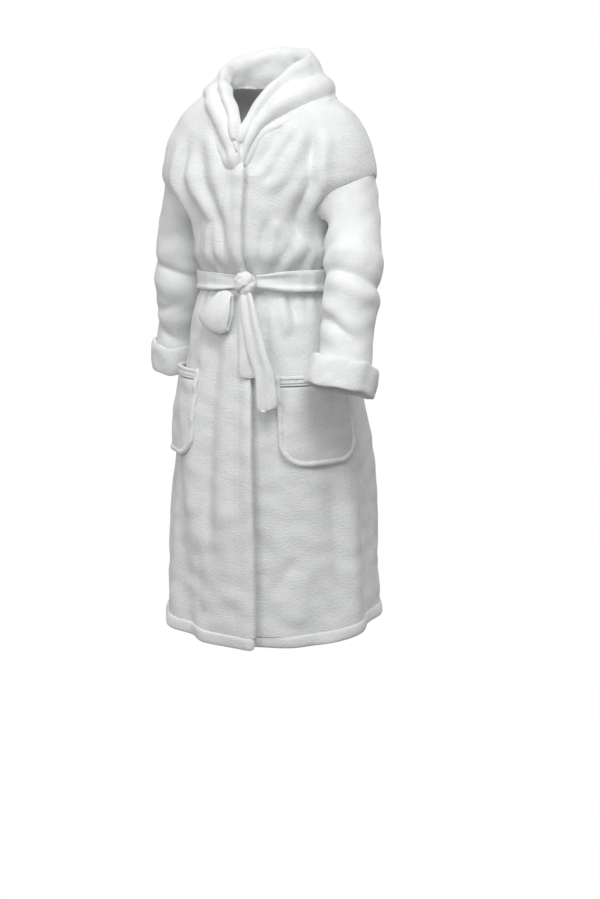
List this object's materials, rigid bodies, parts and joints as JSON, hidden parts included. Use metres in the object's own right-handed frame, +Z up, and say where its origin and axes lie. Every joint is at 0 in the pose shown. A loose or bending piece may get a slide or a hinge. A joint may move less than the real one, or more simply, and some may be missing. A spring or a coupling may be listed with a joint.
{
  "type": "bathrobe",
  "caption": "Knee-length white fleece bathrobe with a shawl collar, turned-back cuffs, patch pockets and a tied belt, in its worn shape.",
  "frame": {"origin": "middle of the neck opening at the height where the collar meets the shoulders", "axes": "+Z up, the front faces -Y, the wearer's left is +X"},
  "size_m": [0.5607, 0.4759, 1.1632],
  "materials": {
    "body_fleece": "white plush fleece of the body, sleeves and pockets",
    "collar_fleece": "white plush fleece of the shawl collar",
    "cuff_fleece": "white plush fleece of the turned-back cuffs",
    "trim_fleece": "white plush fleece turned and stitched at the hem and round the pockets",
    "facing_cloth": "white fleece facing, stitched flat inside the front edges",
    "belt_fleece": "white plush fleece of the tie belt",
    "loop_tape": "white woven tape of the belt loops and the hanging loop",
    "label_satin": "blank white woven satin label"
  },
  "bodies": {
    "robe": {"back_panel": "body_fleece", "front_panel_left": "body_fleece", "front_panel_right": "body_fleece", "front_facing_left": "facing_cloth", "front_facing_right": "facing_cloth", "hem_band_back": "trim_fleece", "hem_band_left": "trim_fleece", "hem_band_right": "trim_fleece", "shawl_collar": "collar_fleece", "pocket_left": "body_fleece", "pocket_band_left": "body_fleece", "pocket_trim_left": "trim_fleece", "pocket_right": "body_fleece", "pocket_band_right": "body_fleece", "pocket_trim_right": "trim_fleece", "belt_band": "belt_fleece", "belt_knot": "belt_fleece", "belt_loop_left": "loop_tape", "belt_loop_right": "loop_tape", "blank_label": "label_satin"},
    "left_sleeve": {"sleeve_left": "body_fleece"},
    "left_cuff": {"cuff_left": "cuff_fleece"},
    "right_sleeve": {"sleeve_right": "body_fleece"},
    "right_cuff": {"cuff_right": "cuff_fleece"},
    "short_tail": {"belt_tail_short": "belt_fleece"},
    "long_tail": {"belt_tail_long": "belt_fleece"},
    "bow": {"bow_loop": "belt_fleece"},
    "hanger": {"hanging_loop": "loop_tape"}
  },
  "joints": [
    {"name": "left_sleeve_lift", "type": "hinge", "parent": "robe", "child": "left_sleeve", "pos_m": [0.2225, 0, -0.163], "axis": [0, -1, 0], "range_deg": [0, 50]},
    {"name": "right_sleeve_lift", "type": "hinge", "parent": "robe", "child": "right_sleeve", "pos_m": [-0.2225, 0, -0.163], "axis": [0, 1, 0], "range_deg": [0, 50]},
    {"name": "left_cuff_turn_down", "type": "slide", "parent": "left_sleeve", "child": "left_cuff", "axis": [-0.13, -0.27, -0.954], "range_m": [0, 0.055]},
    {"name": "right_cuff_turn_down", "type": "slide", "parent": "right_sleeve", "child": "right_cuff", "axis": [-0.1203, 0.2005, -0.9723], "range_m": [0, 0.055]},
    {"name": "short_tail_swing", "type": "hinge", "parent": "robe", "child": "short_tail", "pos_m": [0.01, -0.148, -0.39], "axis": [-1, 0, 0], "range_deg": [0, 45]},
    {"name": "long_tail_swing", "type": "hinge", "parent": "short_tail", "child": "long_tail", "pos_m": [0.015, -0.154, -0.391], "axis": [-1, 0, 0], "range_deg": [0, 45]},
    {"name": "bow_loop_swing", "type": "hinge", "parent": "robe", "child": "bow", "pos_m": [-0.03, -0.145, -0.39], "axis": [-1, 0, 0], "range_deg": [0, 45]},
    {"name": "hanging_loop_flip", "type": "hinge", "parent": "robe", "child": "hanger", "pos_m": [0, 0.068, 0], "axis": [-1, 0, 0], "range_deg": [0, 150]}
  ]
}
